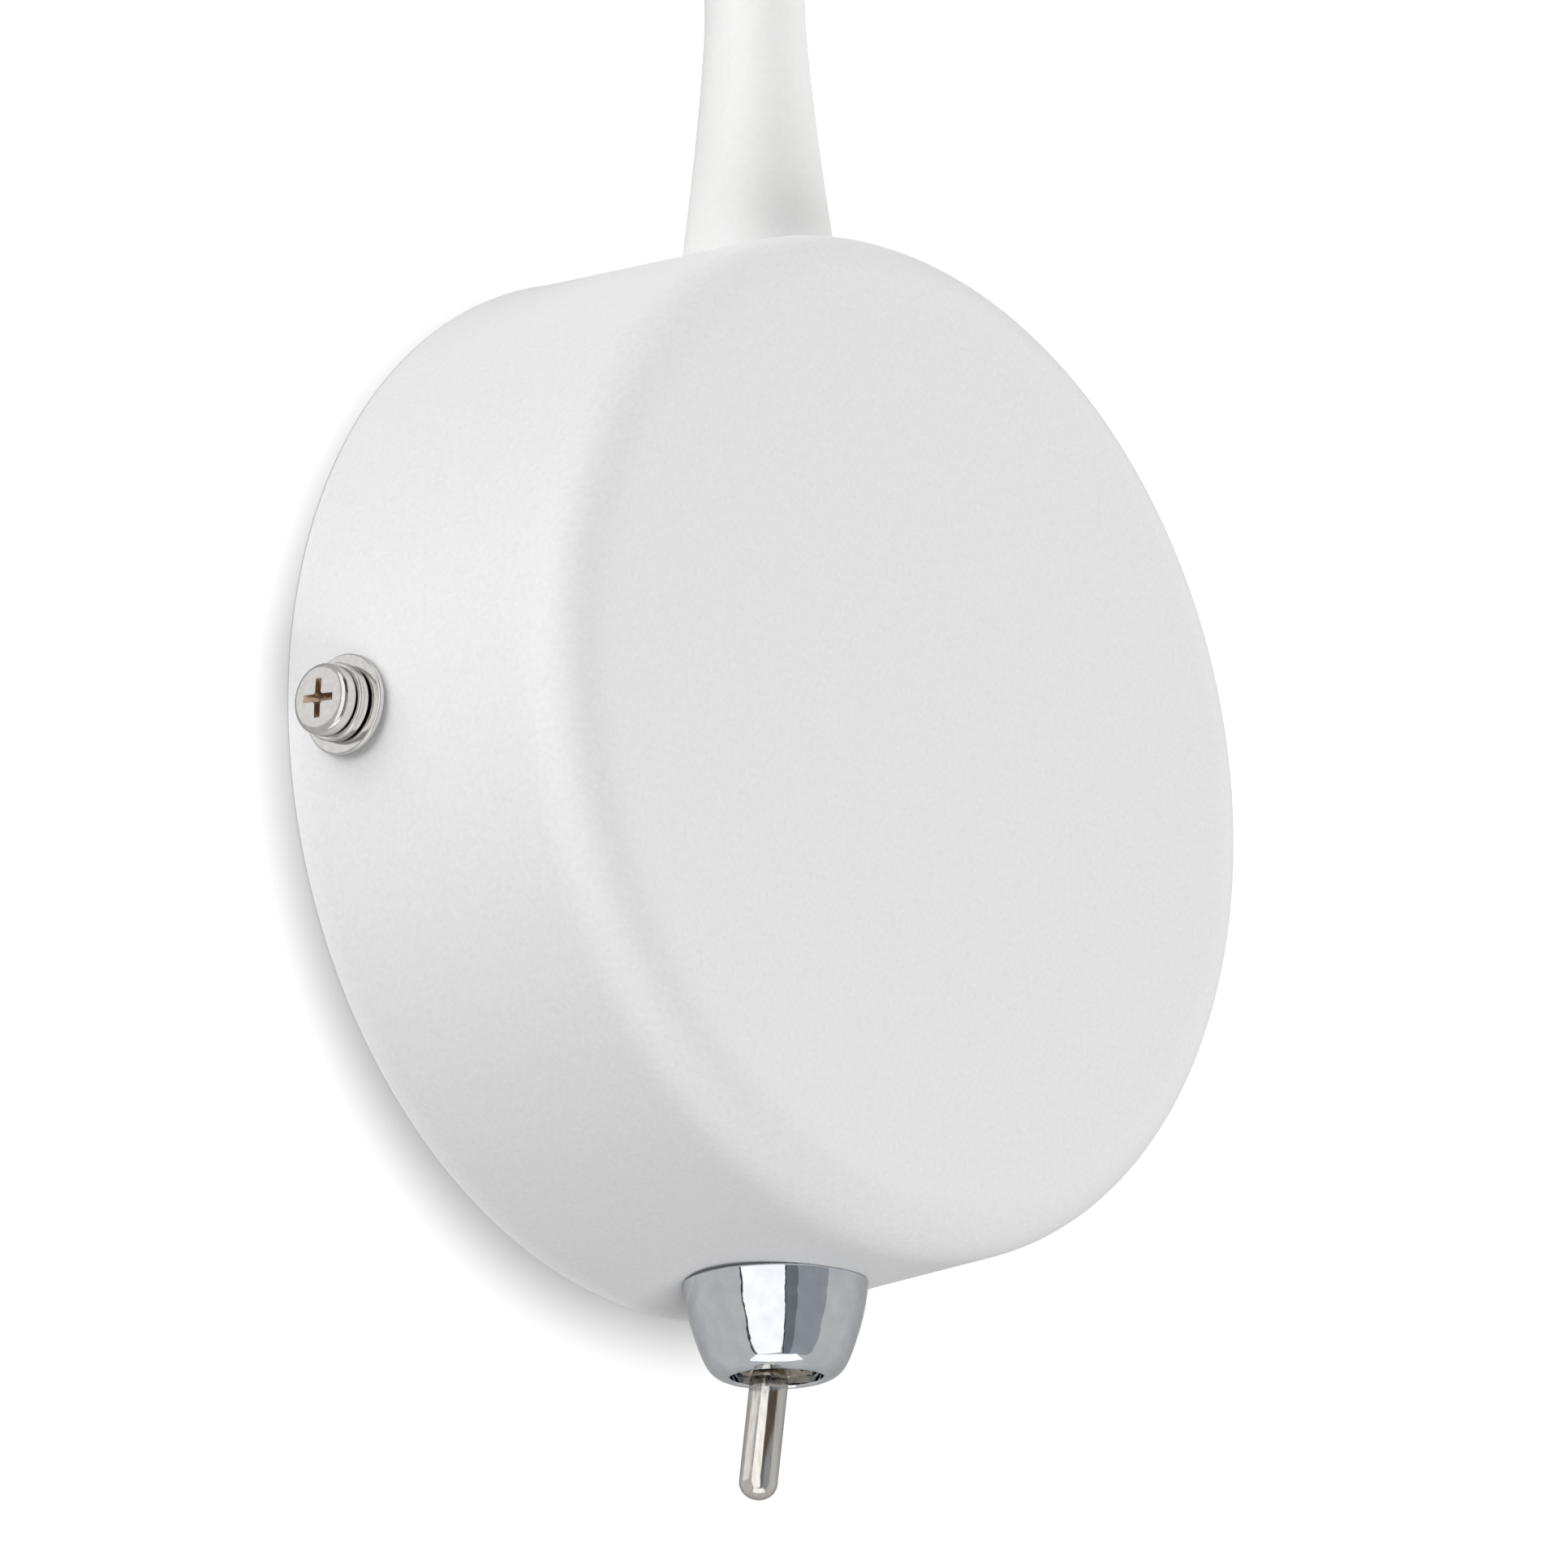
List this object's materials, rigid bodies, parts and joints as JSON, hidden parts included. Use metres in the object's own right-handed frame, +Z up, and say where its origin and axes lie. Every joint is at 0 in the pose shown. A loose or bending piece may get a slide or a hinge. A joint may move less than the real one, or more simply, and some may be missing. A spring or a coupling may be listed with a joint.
{
  "type": "wall light base with toggle switch",
  "caption": "Round white wall base for a light, with a toggle switch in a chrome dress nut below, side screws holding it to a crossbar, and a sleeved flexible arm on top.",
  "frame": {"origin": "centre of the wall bracket's back face, which lies on the wall", "axes": "+Y into the wall, -Y out of the front of the cover, +Z up along the arm"},
  "size_m": [0.0862, 0.027, 0.1426],
  "materials": {
    "powder_coat": "fine matt white powder coat on drawn steel",
    "zinc": "bright zinc plate on pressed or turned steel",
    "nickel": "bright nickel plate",
    "chrome": "polished chrome plate on brass",
    "phenolic": "moulded blue phenolic",
    "nylon": "natural nylon",
    "spring_steel": "drawn spring steel",
    "silver": "silver plated copper alloy",
    "heat_shrink": "shrunk black polyolefin",
    "silicone": "matt white silicone rubber",
    "tinned_copper": "tinned copper",
    "polyamide": "natural white polyamide",
    "brass": "turned brass",
    "brown_pvc": "brown PVC insulation",
    "red_pvc": "red PVC insulation",
    "blue_pvc": "blue PVC insulation",
    "green_yellow_pvc": "green and yellow PVC insulation"
  },
  "bodies": {
    "root": {"cover": "powder_coat", "wall_bracket": "zinc", "side_screw_left": "nickel", "side_screw_right": "nickel", "spring_washer_left": "nickel", "spring_washer_right": "nickel", "flat_washer_left": "nickel", "flat_washer_right": "nickel", "dress_nut": "chrome", "switch_bushing": "nickel", "lock_washer": "zinc", "switch_frame": "zinc", "switch_case": "phenolic", "common_terminal": "silver", "load_terminal": "silver", "common_heat_shrink": "heat_shrink", "load_heat_shrink": "heat_shrink", "arm_sleeve": "silicone", "gooseneck_core": "spring_steel", "threaded_nipple": "zinc", "nipple_washer": "zinc", "nipple_nut": "zinc", "cover_earth_tag": "tinned_copper", "terminal_block": "polyamide", "clamp_live": "brass", "clamp_neutral": "brass", "clamp_screw_live_upper": "zinc", "clamp_screw_live_lower": "zinc", "clamp_screw_neutral_upper": "zinc", "clamp_screw_neutral_lower": "zinc", "block_screw": "zinc", "bracket_ring_lug": "tinned_copper", "earth_washer": "zinc", "earth_screw": "zinc", "supply_lead": "brown_pvc", "live_lead": "red_pvc", "neutral_lead": "blue_pvc", "earth_lead": "green_yellow_pvc"},
    "toggle": {"toggle_lever": "nickel", "plunger": "nylon", "plunger_spring": "spring_steel"},
    "rocker": {"contact_rocker": "silver"},
    "arm_tip": {"end_ferrule": "chrome"}
  },
  "joints": [
    {"name": "toggle_swing", "type": "hinge", "parent": "root", "child": "toggle", "pos_m": [0, -0.0115, -0.042], "axis": [0, -1, 0], "range_deg": [0, 20]},
    {"name": "rocker_tip", "type": "hinge", "parent": "root", "child": "rocker", "pos_m": [0, -0.0115, -0.0331], "axis": [0, 1, 0], "range_deg": [0, 16]},
    {"name": "arm_bend", "type": "hinge", "parent": "root", "child": "arm_tip", "pos_m": [0, -0.0115, 0.05552], "axis": [1, 0, 0], "range_deg": [-25, 25], "deforming": ["arm_sleeve", "gooseneck_core", "live_lead", "neutral_lead"]}
  ],
  "couplings": [
    {"joint": "rocker_tip", "follows": "toggle_swing", "ratio": 0.8}
  ]
}
